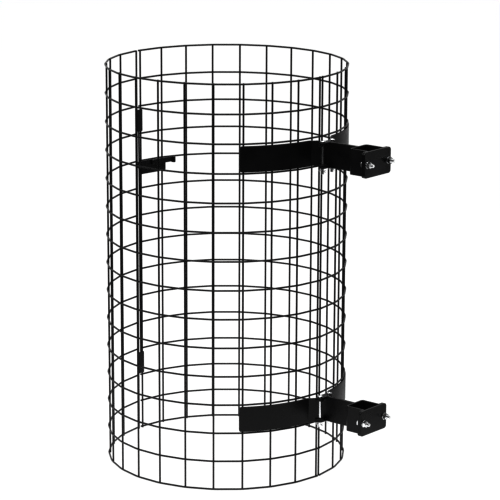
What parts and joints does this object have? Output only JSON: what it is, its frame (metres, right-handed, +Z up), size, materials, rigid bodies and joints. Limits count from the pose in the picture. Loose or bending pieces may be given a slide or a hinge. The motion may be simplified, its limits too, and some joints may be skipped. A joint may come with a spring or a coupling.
{
  "type": "tree guard tube",
  "caption": "Black welded-mesh tree guard tube in two hinged half shells, with curved bands, a closing latch and two clamp brackets that hold it to a stake.",
  "frame": {"origin": "on the tube's axis at ground level, under the hoops", "axes": "+Z up the tube, +X out along the bracket arms through the hinge seam, +Y towards the right half shell"},
  "size_m": [0.5525, 0.423, 0.703],
  "materials": {
    "coated_wire": "satin black powder coat on welded wire",
    "coated_steel": "semi-gloss black powder coat on flat steel",
    "zinc_hardware": "bright zinc plate"
  },
  "bodies": {
    "brackets": {"upper_arm": "coated_steel", "lower_arm": "coated_steel", "upper_lugs": "coated_steel", "lower_lugs": "coated_steel", "upper_saddle": "coated_steel", "lower_saddle": "coated_steel", "upper_hinge_pins": "zinc_hardware", "lower_hinge_pins": "zinc_hardware", "upper_split_pins": "zinc_hardware", "lower_split_pins": "zinc_hardware", "upper_clamp_bolts": "zinc_hardware", "lower_clamp_bolts": "zinc_hardware"},
    "left_shell": {"left_hoop_wires": "coated_wire", "left_upright_wires": "coated_wire", "left_band_upper": "coated_steel", "left_band_lower": "coated_steel", "left_ears_upper": "coated_steel", "left_ears_lower": "coated_steel", "latch_keeper": "coated_steel"},
    "right_shell": {"right_hoop_wires": "coated_wire", "right_upright_wires": "coated_wire", "right_band_upper": "coated_steel", "right_band_lower": "coated_steel", "right_ears_upper": "coated_steel", "right_ears_lower": "coated_steel", "seam_strip_upper": "coated_steel", "seam_strip_lower": "coated_steel", "seam_rod": "coated_wire", "latch_plate": "coated_steel", "latch_rivet": "coated_steel"},
    "latch": {"latch_lever": "coated_steel"},
    "upper_clamp": {"upper_clamp_plate": "coated_steel", "upper_clamp_washers": "zinc_hardware", "upper_clamp_nuts": "zinc_hardware"},
    "lower_clamp": {"lower_clamp_plate": "coated_steel", "lower_clamp_washers": "zinc_hardware", "lower_clamp_nuts": "zinc_hardware"}
  },
  "joints": [
    {"name": "left_shell_swing", "type": "hinge", "parent": "brackets", "child": "left_shell", "pos_m": [0.222, -0.0125, 0.3495], "axis": [0, 0, 1], "range_deg": [0, 90]},
    {"name": "right_shell_swing", "type": "hinge", "parent": "brackets", "child": "right_shell", "pos_m": [0.222, 0.0125, 0.3495], "axis": [0, 0, -1], "range_deg": [0, 90]},
    {"name": "latch_swing", "type": "hinge", "parent": "right_shell", "child": "latch", "pos_m": [-0.20367, 0.02941, 0.4975], "axis": [0.9897, -0.1429, 0], "range_deg": [0, 180]},
    {"name": "upper_clamp_slide", "type": "slide", "parent": "brackets", "child": "upper_clamp", "axis": [1, 0, 0], "range_m": [0, 0.006]},
    {"name": "lower_clamp_slide", "type": "slide", "parent": "brackets", "child": "lower_clamp", "axis": [1, 0, 0], "range_m": [0, 0.006]}
  ]
}
